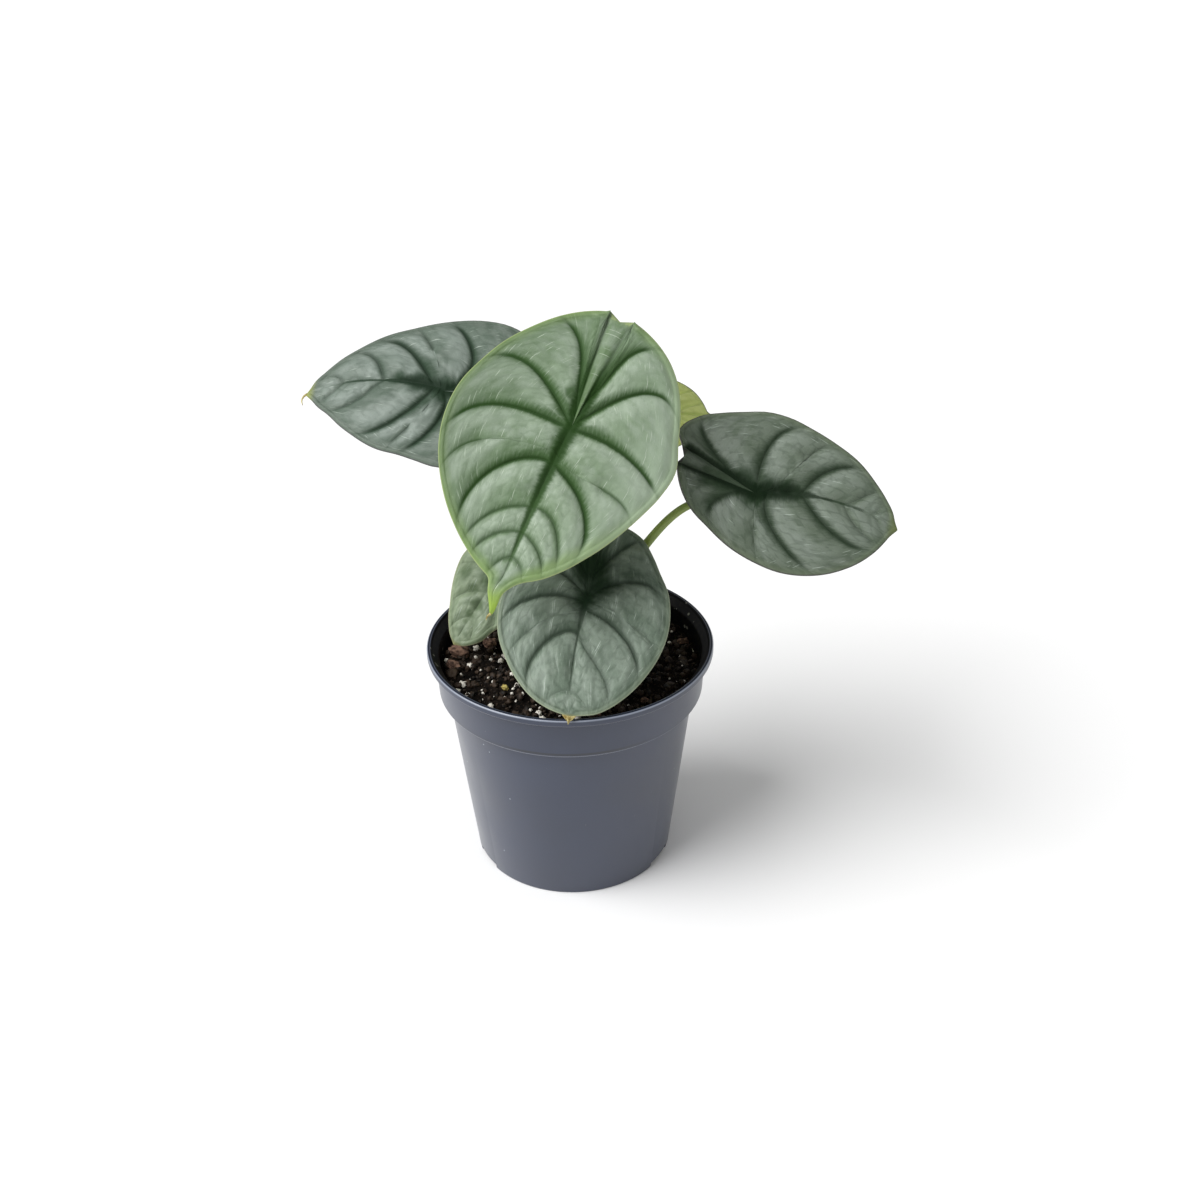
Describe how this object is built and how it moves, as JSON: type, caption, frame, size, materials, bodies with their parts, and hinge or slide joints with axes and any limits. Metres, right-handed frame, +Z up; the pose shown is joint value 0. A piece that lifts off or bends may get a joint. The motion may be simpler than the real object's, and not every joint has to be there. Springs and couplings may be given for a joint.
{
  "type": "potted silver dragon alocasia",
  "caption": "Young aroid house plant with quilted silver-green shield-shaped leaves on slender petioles, growing in soil in a round plastic nursery pot.",
  "frame": {"origin": "centre of the pot's base, on the surface that it stands on", "axes": "+Z up; -Y is the front, where the large pale leaf hangs; +X is to the right as seen from the front"},
  "size_m": [0.2438, 0.134, 0.2355],
  "materials": {
    "pot_plastic": "semi-matte blue-grey moulded plastic, dark inside",
    "soil": "moist dark potting soil with white perlite and reddish bark",
    "stem": "pale green-brown short stem with papery sheath remains",
    "petiole": "smooth olive green, slightly glossy",
    "leaf_pale": "pale silvery green with dark green veins and a yellow-green margin, satin",
    "leaf_silver": "dull silver-green with dark blue-green veins, satin and leathery",
    "leaf_young": "young yellow-green, satin"
  },
  "bodies": {
    "root": {"pot": "pot_plastic", "soil": "soil", "stem": "stem", "petiole_front": "petiole", "petiole_left": "petiole", "petiole_right": "petiole", "petiole_low": "petiole", "petiole_small": "petiole", "petiole_back": "petiole", "blade_front": "leaf_pale", "blade_left": "leaf_silver", "blade_right": "leaf_silver", "blade_low": "leaf_silver", "blade_small": "leaf_silver", "blade_back": "leaf_young"}
  },
  "joints": []
}
